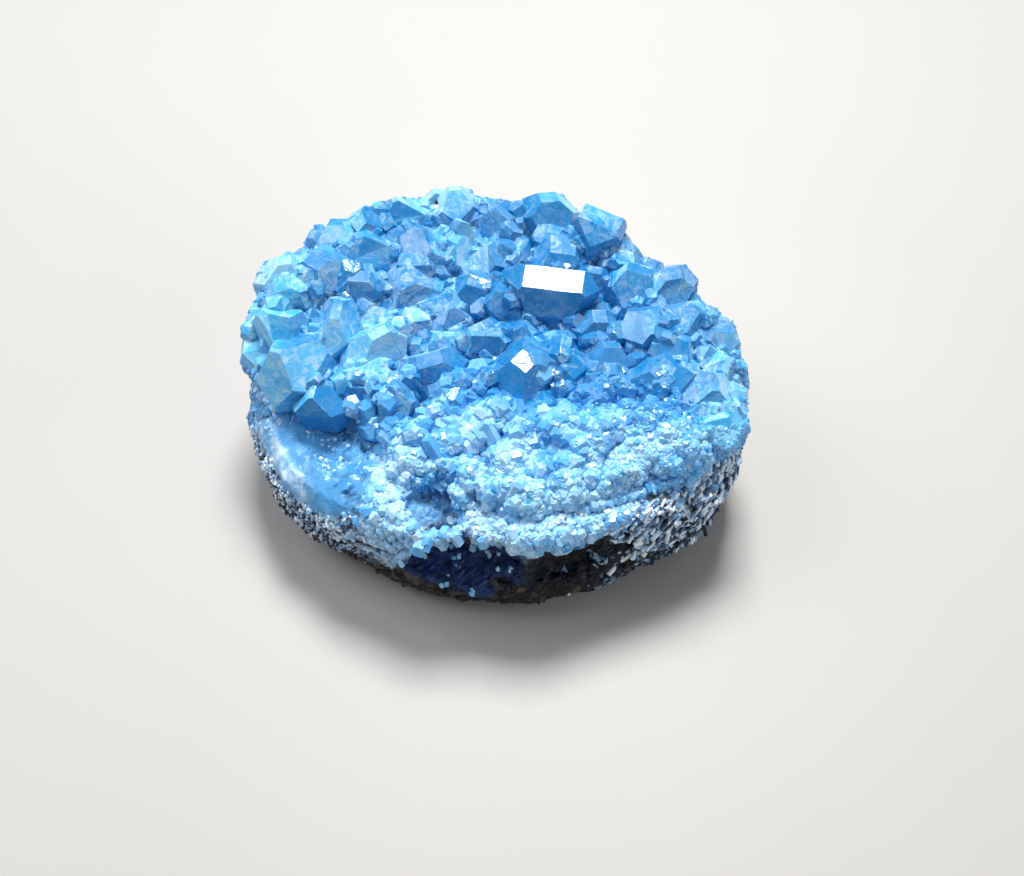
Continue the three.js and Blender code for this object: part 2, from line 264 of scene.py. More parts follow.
# Host rock: sugary and pale by the crystals, layered on the right, dark in its hollows, with painted shade in
# the vugs, and brown darkened with painted shade underneath
rockLook = {
    "sugar": (0.56, 0.76, 0.95),
    "sugarShade": (0.05, 0.16, 0.34),
    "layerPale": (0.5, 0.64, 0.82),
    "layerDark": (0.012, 0.018, 0.03),
    "hollow": (0.042, 0.22, 0.48),
    "hollowPale": (0.075, 0.31, 0.6),
    "band": (0.6, 0.8, 1.0),
    "bandShade": (0.16, 0.4, 0.7),
    # the vugs' navy and near-black: their own colour darkened with painted shade
    "vugAndShade": (0.006, 0.03, 0.135),
    "vugDeepShade": (0.002, 0.003, 0.007),
    # near-black underside: partly the rock's own brown, partly painted shade
    "brownAndShade": (0.004, 0.0037, 0.0034),
    "brownGrain": (0.085, 0.068, 0.052),
    # colour of the painted shade in the dips between grains
    "gapShade": (0.008, 0.014, 0.028),
}


def rockMaterial():
    look = rockLook
    material, tree, shader, _ = newMaterial("hostRock")
    points = objectPoints(tree)
    grains = addNode(tree, "ShaderNodeTexVoronoi", Vector=points, Scale=900.0).outputs["Color"]
    grainTone = addNode(tree, "ShaderNodeSeparateColor", Color=grains).outputs[0]
    patches = noiseOf(tree, points, 160.0, 5.0)
    tone = mathOf(tree, "ADD", mathOf(tree, "MULTIPLY", grainTone, 0.45),
                  mathOf(tree, "MULTIPLY", patches, 0.75))
    colour = rampOf(tree, tone, (0.36, look["sugarShade"]), (0.72, look["sugar"]))
    layers = noiseOf(tree, objectPoints(tree, (60, 60, 1400), (0.0, 0.1, 0.0)), 1.0, 4.0, 0.6)
    layered = rampOf(tree, layers, (0.45, look["layerDark"]), (0.7, look["layerPale"]))
    colour = mixColour(tree, attributeOf(tree, "layered"), colour, layered)
    grit = addNode(tree, "ShaderNodeTexVoronoi", Vector=points, Scale=2000.0).outputs["Color"]
    gritTone = addNode(tree, "ShaderNodeSeparateColor", Color=grit).outputs[1]
    gritty = rampOf(tree, gritTone, (0.3, look["layerDark"]), (0.55, look["layerPale"]), (0.8, look["band"]))
    colour = mixColour(tree, attributeOf(tree, "gritty"), colour, gritty)
    # the brown underside with its grains, darkened to near black as painted shade
    brownAndShade = mixColour(tree, rangeOf(tree, grainTone, 0.5, 0.95), look["brownAndShade"], look["brownGrain"])
    colour = mixColour(tree, attributeOf(tree, "brownAndShade"), colour, brownAndShade)
    floor = mixColour(tree, rangeOf(tree, patches, 0.35, 0.65), look["hollow"], look["hollowPale"])
    colour = mixColour(tree, attributeOf(tree, "hollow"), colour, floor)
    # painted shade in the vugs: navy, going to near-black painted shade in the right-hand vug
    dark = rangeOf(tree, axisOf(tree, "X"), 0.002, 0.007)
    vugs = mixColour(tree, dark, look["vugAndShade"], look["vugDeepShade"])
    colour = mixColour(tree, attributeOf(tree, "vugAndShade"), colour, vugs)
    clouds = rangeOf(tree, noiseOf(tree, points, 420.0, 6.0, 0.65), 0.38, 0.66)
    band = mixColour(tree, clouds, look["bandShade"], look["band"])
    colour = mixColour(tree, attributeOf(tree, "band"), colour, band)
    # painted shade: the dips between the grains are darkened
    gapShading = mathOf(tree, "MULTIPLY", attributeOf(tree, "gapShadeMask"), 0.9)
    colour = mixColour(tree, gapShading, colour, look["gapShade"])
    tree.links.new(colour, shader.inputs["Base Color"])
    tree.links.new(rangeOf(tree, grainTone, 0.0, 1.0, 0.22, 0.7), shader.inputs["Roughness"])
    shader.inputs["Specular IOR Level"].default_value = 0.3
    relief = bumpOf(tree, noiseOf(tree, points, 1400.0, 4.0, 0.6), 0.0002, 0.7)
    tree.links.new(relief, shader.inputs["Normal"])
    return material


# The broken layers of the right wall, and the slivers on both walls
strataLook = {
    "dark": (0.008, 0.014, 0.03),
    "grey": (0.12, 0.27, 0.5),
    "pale": (0.8, 0.92, 1.0),
}


def strataMaterial():
    look = strataLook
    material, tree, shader, _ = newMaterial("strata")
    points = objectPoints(tree)
    streaks = noiseOf(tree, objectPoints(tree, (1, 1, 4)), 420.0, 5.0, 0.65)
    tone = mathOf(tree, "ADD", mathOf(tree, "MULTIPLY", attributeOf(tree, "tone"), 0.6),
                  mathOf(tree, "MULTIPLY", streaks, 0.6))
    colour = rampOf(tree, tone, (0.34, look["dark"]), (0.5, look["grey"]), (0.72, look["pale"]))
    tree.links.new(colour, shader.inputs["Base Color"])
    tree.links.new(rangeOf(tree, streaks, 0.3, 0.7, 0.2, 0.55), shader.inputs["Roughness"])
    relief = bumpOf(tree, noiseOf(tree, points, 1500.0, 4.0, 0.6), 0.0001, 0.6)
    tree.links.new(relief, shader.inputs["Normal"])
    return material


# Form of the rock: balls are a centre and a reach along each axis
rockForm = {
    "voxel": 0.00046,
    "grain": (0.0019, 0.34),  # size in metres, height as a share of the size
    "sand": (0.0009, 0.3),
    "vugs": [
        ((-0.0043, -0.0345, 0.0125), (0.0108, 0.0080, 0.0066)),
        ((0.0132, -0.0350, 0.0115), (0.0100, 0.0080, 0.0062)),
    ],
    "hollow": ((-0.0265, -0.0193, 0.0190), (0.0110, 0.0120, 0.0060)),
    "band": {"turn": math.radians(-146), "reach": 0.036, "wide": 0.0016, "ends": (-0.0135, 0.0055)},
    "smooth": (0.0312, 0.0325),  # from here towards the band, the hollow's floor is smooth
    "recess": ((-0.0078, -0.0265, 0.0195), (0.0060, 0.0070, 0.0042)),
    "bare": (0.0004, 0.0016),  # distance from the crystals over which the grain sets in
    "foot": 0.0012,  # height over which it sets in above the flat underside
    "gapShade": -0.00035,  # depth at which the painted shade in a gap between grains is full
}
# where each kind of ground starts and ends: angles round the rock in radians, heights in metres
groundForm = {
    "waves": ((0.002, 260), (0.0012, 700)),  # height and fineness of the waves in every border
    "front": (-1.5, 0.75),  # middle and width of the part where the brown of the underside, darkened with painted shade, comes up
    "right": ((-1.28, -1.05), (0.35, 0.0)),
    "rightTop": (0.0145, 0.0085),  # at the front, and how much higher it is on the right
    "rightRise": (-1.15, -0.6),
    "left": ((-2.05, -2.25), (-3.0, -2.8)),
    "leftTop": (0.0175, 0.0145),
    "brownAndShadeTop": (0.006, 0.003),
    "brownAndShadeRise": 0.009,
    "bandFoot": (0.0125, 0.0145),
}


def inBall(point, ball):
    centre, reach = ball
    return math.sqrt(sum(((point[i] - centre[i]) / reach[i]) ** 2 for i in range(3)))


# How fully each kind of ground holds at a point, 0 to 1
def groundAt(point):
    form = groundForm
    wave = sum(height * noise.noise(point * fineness) for height, fineness in form["waves"])
    lifted = point.z + wave
    angle = math.atan2(point.y, point.x)
    front = math.exp(-(((angle - form["front"][0]) / form["front"][1]) ** 2))
    right = smoothStep(*form["right"][0], angle + 40 * wave) * smoothStep(*form["right"][1], angle)
    top = form["rightTop"][0] + form["rightTop"][1] * smoothStep(*form["rightRise"], angle)
    left = smoothStep(*form["left"][0], angle) * smoothStep(*form["left"][1], angle)
    # the brown underside and its painted shade reach higher at the front, in the shade under the lip
    brownAndShadeLow, brownAndShadeHigh = (height + form["brownAndShadeRise"] * front for height in form["brownAndShadeTop"])
    hollow = smoothStep(1.0, 0.75, inBall(point, rockForm["hollow"]) + 40 * wave)
    band = rockForm["band"]
    away = point.x * math.cos(band["turn"]) + point.y * math.sin(band["turn"]) + 0.4 * wave
    along = point.y * math.cos(band["turn"]) - point.x * math.sin(band["turn"])
    strip = smoothStep(band["wide"], 0.4 * band["wide"], abs(away - band["reach"]))
    strip *= smoothStep(band["ends"][0], band["ends"][0] + 0.003, along)
    strip *= smoothStep(band["ends"][1], band["ends"][1] - 0.003, along)
    return {
        "band": strip * smoothStep(*form["bandFoot"], lifted),
        "smooth": hollow * smoothStep(*rockForm["smooth"], away),
        "layered": right * smoothStep(top + 0.0025, top - 0.0015, lifted),
        "gritty": left * smoothStep(*form["leftTop"], lifted),
        "brownAndShade": smoothStep(brownAndShadeLow, brownAndShadeHigh, lifted),
        "vugAndShade": max(smoothStep(1.05, 0.85, inBall(point, ball) + 110 * wave) for ball in rockForm["vugs"]),
        "hollow": max(hollow, 0.8 * smoothStep(1.0, 0.8, inBall(point, rockForm["recess"]) + 40 * wave)),
    }


def tiltedGrain(point, size, shift):
    scaled = point / size + Vector((shift, 0.37 * shift, 1.7 * shift))
    centre = noise.voronoi(scaled)[1][0]
    tilt = 2 * noise.cell_vector(centre * 7.31) - Vector((1, 1, 1))
    return (scaled - centre).dot(tilt) * size


def makeRock(material, crystalTree):
    form = rockForm
    rock = looseObject(cadCopy("matrix"), "hostRock")
    remesh = rock.modifiers.new("grain", "REMESH")
    remesh.mode = "VOXEL"
    remesh.voxel_size = form["voxel"]
    applyModifiers(rock)
    bm = bmesh.new()
    bm.from_mesh(rock.data)
    bm.normal_update()
    grounds = ("layered", "gritty", "brownAndShade", "hollow", "vugAndShade", "band")
    masks = {name: bm.verts.layers.float.new(name) for name in grounds}
    gapShadeMask = bm.verts.layers.float.new("gapShadeMask")
    moves = []
    for vert in bm.verts:
        point = vert.co.copy()
        ground = groundAt(point)
        for name, mask in masks.items():
            vert[mask] = ground[name]
        bare = smoothStep(*form["bare"], crystalTree.find_nearest(point)[3])
        grain = form["grain"][1] * tiltedGrain(point, form["grain"][0], 3.1)
        sand = form["sand"][1] * tiltedGrain(point, form["sand"][0], 8.3)
        rough = (grain + sand) * (1 - 0.4 * ground["hollow"]) * (1 - 0.8 * ground["band"])
        rough *= 1 - 0.8 * ground["smooth"]
        # painted shade in the dips between grains, weaker in the hollow
        vert[gapShadeMask] = smoothStep(0.0, form["gapShade"], rough) * bare * (1 - 0.5 * ground["hollow"])
        moves.append(vert.normal * rough * bare * smoothStep(0.0, form["foot"], point.z))
    for vert, move in zip(bm.verts, moves):
        vert.co += move
        vert.co.z = max(vert.co.z, 0.0)
    bm.to_mesh(rock.data)
    bm.free()
    finishPiece(rock, material, "host_rock", "matrix")
    return rock


# Small crystals that grow in the corners between the large ones
smallCrystals = {
    "seed": 5,
    "shapes": 10,
    "batches": 5,
    "spacing": 0.003,
    "width": (0.0018, 0.0046),
    "bend": math.radians(40),  # a corner at least this sharp holds small crystals
    "border": 0.00015,  # width of the rounded border of a facet
    "sharpest": math.radians(35),  # a facet with a sharper corner has no border
    "mirrors": [(0.0098, 0.0097), (0.0051, -0.0059)],  # the two crystals with mirror-bright caps
    "mirrorWay": Vector((0.0, -0.157, 0.988)),  # a facet that faces this way mirrors the key light
    "mirrorReach": 0.006,  # how far from its place a mirror crystal's facets lie
    "facing": 0.96,  # a dull facet that faces the mirror way more than this would glare
    "glossy": 0.06,  # share of the other facets that are as bright
    "tones": (0.2, 0.6),  # a facet's least tone, and how much chance adds
    "flat": 0.02,  # facets that differ less than this, in radians, are one
    "lean": 0.35,
    "apart": 0.62,  # distance between two of a batch, as a share of their widths
}
# deeper and paler crystals: place along X and Y, reach, change of tone
toneSpots = [
    ((0.0020, 0.0263), 0.0050, -0.7),
    ((-0.0130, 0.0229), 0.0050, -0.5),
    ((-0.0271, 0.0154), 0.0060, -0.6),
    ((0.0020, 0.0115), 0.0050, -0.4),
    ((0.0161, 0.0046), 0.0070, -0.6),
    ((0.0254, -0.0076), 0.0070, -0.6),
    ((0.0050, -0.0085), 0.0080, -0.6),
    ((-0.0216, -0.0136), 0.0050, -0.6),
    ((-0.0175, -0.0006), 0.0060, 0.5),
    ((-0.0087, 0.0307), 0.0060, 0.6),
    ((0.0020, 0.0330), 0.0050, 0.6),
    ((-0.0347, 0.0130), 0.0050, 0.5),
    ((0.0348, -0.0062), 0.0050, 0.5),
    ((-0.0037, 0.0195), 0.0050, 0.4),
]
cell = {"a": 8.36, "b": 5.35, "c": 6.87}  # celestite's unit cell


def crystalPlane(h, k, l):
    return Vector((k / cell["b"], l / cell["c"], h / cell["a"])).normalized()


def cutOff(bm, place, way):
    whole = bm.verts[:] + bm.edges[:] + bm.faces[:]
    cut = bmesh.ops.bisect_plane(bm, geom=whole, plane_co=place, plane_no=way, clear_outer=True)
    rim = [part for part in cut["geom_cut"] if isinstance(part, bmesh.types.BMEdge)]
    if rim:
        bmesh.ops.edgenet_fill(bm, edges=rim)


def shapeArrays(bm):
    bmesh.ops.recalc_face_normals(bm, faces=bm.faces)
    bmesh.ops.triangulate(bm, faces=bm.faces)
    bm.verts.index_update()
    points = np.array([vert.co for vert in bm.verts])
    corners = np.array([[vert.index for vert in face.verts] for face in bm.faces])
    bm.free()
    return points, corners


def crystalShape(pick):
    bm = bmesh.new()
    bmesh.ops.create_cube(bm, size=2.0)
    cuts = [(Vector((0, 0, 0.42 * pick.uniform(0.8, 1))), Vector((0, 0, 1)))]
    for side in (-1, 1):
        for other in (-1, 1):
            way = crystalPlane(0, side, other)
            cuts.append((way * 0.5 * pick.uniform(0.8, 1), way))
        way = crystalPlane(0, 0, side)
        cuts.append((way * 0.5 * pick.uniform(0.7, 0.95), way))
        cuts.append((Vector((0, 0, 0.42 * pick.uniform(1, 1.35))), crystalPlane(2, side, 0)))
        cuts.append((Vector((0, 0, 0.42 * pick.uniform(1.05, 1.7))), crystalPlane(1, 0, side)))
    for place, way in cuts:
        cutOff(bm, place, way)
    return shapeArrays(bm)


def joinedCopies(shapes, places, name):
    points, corners, tones, start = [], [], [], 0
    for shape, matrix, tone in places:
        own, faces = shapes[shape]
        turned = np.array(matrix)
        points.append(own @ turned[:3, :3].T + turned[:3, 3])
        corners.append(faces + start)
        tones.append(np.full(len(own), tone))
        start += len(own)
    mesh = bpy.data.meshes.new(name)
    mesh.from_pydata(np.concatenate(points).tolist(), [], np.concatenate(corners).tolist())
    mesh.attributes.new("tone", "FLOAT", "POINT").data.foreach_set("value", np.concatenate(tones))
    made = bpy.data.objects.new(name, mesh)
    scene.collection.objects.link(made)
    return made


def scatter(pick, spread):
    return Vector((pick.gauss(0, spread), pick.gauss(0, spread), pick.gauss(0, spread)))


def seatMatrix(place, way, width, spin):
    turn = way.to_track_quat("Z", "Y").to_matrix().to_4x4()
    return Matrix.Translation(place) @ turn @ Matrix.Rotation(spin, 4, "Z") @ Matrix.Scale(width, 4)


def cornerSeats(bm, pick):
    seats = []
    for edge in bm.edges:
        if edge.is_convex or edge.calc_face_angle_signed(0.0) > -smallCrystals["bend"]:
            continue
        way = (edge.link_faces[0].normal + edge.link_faces[1].normal).normalized()
        if way.z < 0.1:
            continue
        first, last = (vert.co for vert in edge.verts)
        for _ in range(int((last - first).length / smallCrystals["spacing"] + pick.random())):
            seats.append((first.lerp(last, pick.random()), way))
    return seats


def spotTone(point):
    change = 0.0
    for (x, y), reach, amount in toneSpots:
        change += amount * math.exp(-((point.x - x) ** 2 + (point.y - y) ** 2) / reach ** 2)
    return change


# One tone for each facet, and a narrow rounded border along its edges
def dressFacets(made):
    form = smallCrystals
    border = form["border"]
    least, chance = form["tones"]
    bm = bmesh.new()
    bm.from_mesh(made.data)
    bmesh.ops.remove_doubles(bm, verts=bm.verts, dist=1.5 * border)
    bmesh.ops.dissolve_limit(bm, angle_limit=form["flat"], verts=bm.verts, edges=bm.edges)
    bm.verts.layers.float.remove(bm.verts.layers.float["tone"])  # left by the small crystals
    tone = bm.faces.layers.float.new("tone")
    worn = bm.faces.layers.float.new("edge")
    gloss = bm.faces.layers.float.new("gloss")
    matte = bm.faces.layers.float.new("matte")
    large = []
    for face in bm.faces:
        face.smooth = False
        middle = face.calc_center_median()
        shade = least + chance * noise.cell_vector(middle * 9000).x + spotTone(middle)
        face[tone] = min(max(shade, 0.0), 1.0)
        near = min(math.dist(middle.xy, mirror) for mirror in form["mirrors"])
        if near < form["mirrorReach"] or noise.cell_vector(middle * 7000).y < form["glossy"]:
            face[gloss] = 1.0
        elif face.normal.dot(form["mirrorWay"]) > form["facing"]:
            face[matte] = 1.0
        wide = min(edge.calc_length() for edge in face.edges) > 3 * border
        if wide and min(loop.calc_angle() for loop in face.loops) > form["sharpest"]:
            large.append(face)
    for edge in bm.edges:
        edge.smooth = edge.is_convex
    print("facets", len(bm.faces), "with borders", len(large))
    rims = bmesh.ops.inset_individual(bm, faces=large, thickness=border, use_even_offset=True)["faces"]
    for face in rims:
        face.smooth = True
        face[worn] = 1.0
    bm.to_mesh(made.data)
    bm.free()


def makeCrystals(material, shapes):
    form = smallCrystals
    pick = random.Random(form["seed"])
    bm = cadCopy("crystals")
    bm.normal_update()
    seats = cornerSeats(bm, pick)
    pick.shuffle(seats)
    crystals = looseObject(bm, "celestiteCrust")
    batches = [[] for _ in range(form["batches"])]
    for place, way in seats:
        width = pick.uniform(*form["width"])
        lean = scatter(pick, form["lean"])
        matrix = seatMatrix(place, (way + lean).normalized(), width, pick.uniform(0, math.pi))
        shape = pick.randrange(len(shapes))
        for batch in batches:
            if all((place - other[0]).length > form["apart"] * (width + other[1]) for other in batch):
                batch.append((place, width, shape, matrix))
                break
    print("small crystals", sum(len(batch) for batch in batches), "of", len(seats), "seats")
    for number, batch in enumerate(batches):
        places = [(shape, matrix, 0.0) for _, _, shape, matrix in batch]
        extra = joinedCopies(shapes, places, "batch%d" % number)
        fuse = crystals.modifiers.new("fuse", "BOOLEAN")
        fuse.operation = "UNION"
        fuse.solver = "MANIFOLD"
        fuse.object = extra
        applyModifiers(crystals)
        bpy.data.objects.remove(extra)
    dressFacets(crystals)
    finishPiece(crystals, material, "celestite", "crystals")
    return crystals


# Druse: the sugary crust of fine crystals over the front shoulder, the rim and the hollow
druse = {
    "seed": 8,
    "spacing": 0.00088,
    "width": (0.0011, 0.0023),
    "coarse": 1.7,  # how much wider they are where the crust meets the large crystals
    "small": 0.6,  # how much narrower they are at the right end and low on the rim
    "fine": (0.0006, 0.0011),  # width in the hollow and in the vugs
    "edge": -0.006,  # where the crust starts on the large crystals, along Y
    "reach": 0.018,
    "sink": 0.28,  # how deep one sits, as a share of its width
    "sparkle": Vector((0.0, -0.15, 1.0)),  # the way fine crystals in the hollow face
    "lean": 0.25,
    "upward": Vector((0, 0, 0.5)),
    "left": (-0.024, -0.016),  # where the sugary front sets in along X, and where it ends
    "right": (0.036, 0.026),
    "ring": (0.84, 0.92),  # the crust's outer edge, as a share of the half width and depth
    "high": (0.0245, 0.005),  # top of the crust's bare edge at the front, and how much higher it is behind
    "steep": (0.5, 0.4),  # how far from upright that edge may be, likewise
    "rim": (0.010, 0.015),
    "lip": (0.0160, 0.0185),
    "glitter": (-0.3, 0.0, 1.8),  # whiteness of the fine crystals in the hollow
    "chalky": 1.4,  # whiteness along the band and on the gritty wall
    "wave": (0.006, 120),  # height and fineness of the waves in the druse's borders
    "coarseFrom": (-0.026, -0.014),  # where they become coarse along Y, and short of which X
    "coarseSides": (0.034, 0.026),
    "backFrom": (-0.006, 0.002),  # behind the front they narrow to this share of their width
    "backWidth": 0.6,
    "whiteFrom": (-0.011, -0.022),  # whiter towards the front edge, but less so on the right
    "blueRight": (0.006, 0.026),
    "tone": (0.12, 0.42, 0.5, 0.15),  # least tone, and what whiteness, place and chance add
}


def druseWave(point):
    height, fineness = druse["wave"]
    return height * noise.noise(point * fineness)


def frontShare(point, wave):
    share = smoothStep(druse["edge"], druse["edge"] - druse["reach"], point.y + wave)
    return share * smoothStep(*druse["left"], point.x + wave) * smoothStep(*druse["right"], point.x + wave)


# How much of the crust and of the rock the druse covers at a point, 0 to 1
def crustShare(point, way):
    ground = groundAt(point)
    if way.z < -0.3 or ground["brownAndShade"] > 0.5 or ground["vugAndShade"] > 0.5:
        return 0.0
    wave = druseWave(point)
    ring = smoothStep(*druse["ring"], math.hypot(point.x / halfWidth, point.y / halfDepth))
    back = smoothStep(0.0, 0.012, point.y)
    steep = druse["steep"][0] + druse["steep"][1] * back
    high = druse["high"][0] + druse["high"][1] * back
    side = ring * smoothStep(steep, steep - 0.3, abs(way.z)) * smoothStep(high, high - 0.0025, point.z + wave)
    outward = smoothStep(0.1, 0.4, way.x * point.x / halfWidth + way.y * point.y / halfDepth)
    side *= 1 - back * (1 - outward)
    return max(0.9 * frontShare(point, wave), 0.7 * side)


def rockShare(point, way):
    ground = groundAt(point)
    if ground["vugAndShade"] > 0.5:
        return 0.12 * smoothStep(0.1, 0.4, noise.noise(point * 330)) * smoothStep(0.006, 0.002, point.x)
    if way.z < -0.3 or ground["brownAndShade"] > 0.5:
        return 0.0
    if ground["hollow"] > 0.5:
        return 0.4 * smoothStep(-0.2, 0.3, noise.noise(point * 260)) * (1 - ground["smooth"])
    wave = druseWave(point)
    rim = 0.3 * smoothStep(*druse["rim"], point.z + wave)
    rim *= (1 - ground["band"]) * (1 - 0.7 * ground["gritty"])
    lip = smoothStep(*druse["lip"], point.z + 0.5 * wave)
    return max(frontShare(point, wave) * lip, rim) * smoothStep(1.3, 0.1, ground["layered"])


def grainShare(point):
    low = smoothStep(0.019, 0.015, point.z) * smoothStep(-0.008, -0.014, point.x)
    return 1 - (1 - druse["small"]) * max(low, smoothStep(0.008, 0.024, point.x))


def druseStep(point):
    return druse["spacing"] * round(grainShare(point), 1)


# Random places on a piece, at most one in each cell of the step's size
def surfaceSeats(made, shareAt, stepAt, pick, taken):
    bm = bmesh.new()
    bm.from_mesh(made.data)
    bmesh.ops.triangulate(bm, faces=bm.faces)
    seats = []
    for face in bm.faces:
        step = stepAt(face.calc_center_median())
        for _ in range(int(3 * face.calc_area() / step ** 2 + pick.random())):
            first, second = sorted((pick.random(), pick.random()))
            a, b, c = (vert.co for vert in face.verts)
            place = a * first + b * (second - first) + c * (1 - second)
            if pick.random() > shareAt(place, face.normal):
                continue
            spot = (step, *(math.floor(x / step) for x in place))
            if spot in taken:
                continue
            taken.add(spot)
            seats.append((place, face.normal.copy()))
    bm.free()
    return seats


def druseWidth(place, pick):
    coarse = smoothStep(*druse["coarseFrom"], place.y) * smoothStep(*druse["coarseSides"], abs(place.x))
    coarse = 1 + (druse["coarse"] - 1) * coarse
    coarse -= (coarse - druse["backWidth"]) * smoothStep(*druse["backFrom"], place.y)
    return coarse * pick.uniform(*druse["width"]) * grainShare(place)


def makeDruse(name, material, shapes, bed, shareAt, taken):
    pick = random.Random(druse["seed"])
    least, byWhite, byPlace, byChance = druse["tone"]
    places = []
    for place, way in surfaceSeats(bed, shareAt, druseStep, pick, taken):
        lean = scatter(pick, druse["lean"])
        ground = groundAt(place)
        if ground["hollow"] > 0.5 or ground["vugAndShade"] > 0.5:
            width = pick.uniform(*druse["fine"])
            way = (druse["sparkle"] + lean).normalized()
        else:
            width = druseWidth(place, pick)
            way = (way + druse["upward"] + lean).normalized()
        place = place - druse["sink"] * width * way
        white = 1 - 0.5 * smoothStep(*druse["blueRight"], place.x)
        white *= smoothStep(*druse["whiteFrom"], place.y)
        if ground["hollow"] > 0.5:
            white = pick.choice(druse["glitter"])
        if ground["band"] > 0.3 or ground["gritty"] > 0.3:
            white = druse["chalky"]
        tone = least + byWhite * white + byPlace * noise.noise(place * 170) + pick.gauss(0, byChance)
        matrix = seatMatrix(place, way, width, pick.uniform(0, math.pi))
        places.append((pick.randrange(len(shapes)), matrix, min(max(tone, 0.0), 1.0)))
    finishPiece(joinedCopies(shapes, places, name), material, "celestite")


# Strata: a stack of thin broken layers along the right wall
strata = {
    "seed": 3,
    "angles": (math.radians(-76), math.radians(16)),
    "heights": (0.0012, 0.0235),
    "thick": (0.00025, 0.00065),
    "slope": 0.12,  # dip of the layers along the wall
    "step": 0.0003,  # length of a face along the wall
    "radius": 0.037,
    "outside": 0.06,  # where the rays that look for the wall start
    "spare": 0.004,  # how far the stack goes on past its heights before it is cut to them
    "ledge": 0.0001,  # half the height over which one layer gives way to the next
    "proud": 0.0006,  # how far a layer stands out
    "sunk": 0.0012,  # how deep the sheet's edges go into the wall
    "back": 0.002,  # thickness of the sheet, inside the wall
    "sway": (0.0012, 90, 60),  # height of the layers' waves, and how fine they are along and across
    "search": 0.0002,  # step down the wall when its top is looked for
    "fades": (0.002, 0.001, 0.0006),  # how far the ends, the foot and the top take to sink in
}


def wallPoint(rockTree, angle, height):
    out = Vector((math.cos(angle), math.sin(angle), 0))
    place, _, _, _ = rockTree.ray_cast(out * strata["outside"] + Vector((0, 0, height)), -out)
    if place is None or place.dot(out) < 0.6 * strata["radius"]:
        return None, out
    return place, out


def makeStrata(material, rockTree):
    form = strata
    pick = random.Random(form["seed"])
    low, high = form["heights"]
    levels = [low - form["spare"]]
    while levels[-1] < high + form["spare"]:
        levels.append(levels[-1] + pick.uniform(*form["thick"]))
    rows = [(level + side * form["ledge"], number) for number, level in enumerate(levels) for side in (-1, 1)]
    rows = rows[1:-1]
    first, last = form["angles"]
    columns = int((last - first) * form["radius"] / form["step"])
    bm = bmesh.new()
    bmesh.ops.create_grid(bm, x_segments=columns, y_segments=len(rows) - 1, size=1.0)
    tone = bm.verts.layers.float.new("tone")
    swayHeight, swayAlong, swayAcross = form["sway"]
    endFade, footFade, topFade = form["fades"]
    tops = []
    for column in range(columns + 1):
        angle = first + (last - first) * column / columns
        height = high
        while wallPoint(rockTree, angle, height)[0] is None:
            height -= form["search"]
        tops.append(height)
    for vert in bm.verts:
        column = round((vert.co.x + 1) / 2 * columns)
        row = round((vert.co.y + 1) / 2 * (len(rows) - 1))
        angle = first + (last - first) * column / columns
        arc = angle * form["radius"]
        level, edge = rows[row]
        layer = edge if level > levels[edge] else edge - 1
        sway = swayHeight * noise.noise(Vector((arc * swayAlong, level * swayAcross, 0)))
        height = min(max(level + form["slope"] * arc + sway, low), tops[column])
        place, out = wallPoint(rockTree, angle, height)
        if place is None:
            place = rockTree.find_nearest(out * form["radius"] + Vector((0, 0, height)))[0]
        broken = noise.noise(Vector((arc * 800, layer * 3.7, 1.3)))
        chipped = noise.cell(Vector((arc * 2000 + 40, layer * 5.3, 9.1)))
        stand = 0.55 * broken + 0.5 * (chipped - 0.5) + 0.35 * noise.cell(Vector((layer * 1.7, 4.4, 2.2)))
        inside = min(column, columns - column) * form["step"]
        holds = groundAt(place)["layered"] * smoothStep(0.0, endFade, inside)
        holds *= smoothStep(low, low + footFade, height)
        holds *= smoothStep(tops[column], tops[column] - topFade, height)
        shade = 0.15 + 0.4 * smoothStep(0.017, 0.004, height) - 0.15 * smoothStep(0.014, 0.021, height)
        vert[tone] = min(max(0.56 + stand - shade, 0.0), 1.0)
        vert.co = place + out * (form["proud"] * stand * holds - form["sunk"] * (1 - holds))
    bmesh.ops.remove_doubles(bm, verts=bm.verts, dist=1e-6)
    bmesh.ops.recalc_face_normals(bm, faces=bm.faces)
    bmesh.ops.solidify(bm, geom=bm.faces[:], thickness=form["back"])
    finishPiece(looseObject(bm, "strata"), material, "host_rock")


# Chips: slivers of pale and dark crystal along the layers, and grit on the left wall
chips = {
    "seed": 12,
    "spacing": 0.00062,
    "width": (0.0003, 0.0007),
    "long": (1.3, 2.4),  # length as a share of the width
    "rise": 0.12,  # how much they climb along the wall
    "lean": 0.3,
    "tones": (-0.35, -0.2, 0.15, 0.5),
    "cover": (0.12, 0.25),  # share of the layered wall that they cover at its foot, and what its top adds
    "grit": 0.3,  # share of the gritty wall
    "lowest": 0.003,
}


def chipStep(point):
    return chips["spacing"]


def chipShare(point, way):
    ground = groundAt(point)
    if way.z < -0.4 or ground["vugAndShade"] > 0.4 or point.z < chips["lowest"]:
        return 0.0
    foot, higher = chips["cover"]
    layered = ground["layered"] * (foot + higher * smoothStep(0.005, 0.016, point.z))
    gritty = chips["grit"] * ground["gritty"] * (1 - ground["hollow"]) * (1 - ground["band"])
    return max(layered, gritty) * (1 - 0.7 * ground["brownAndShade"])


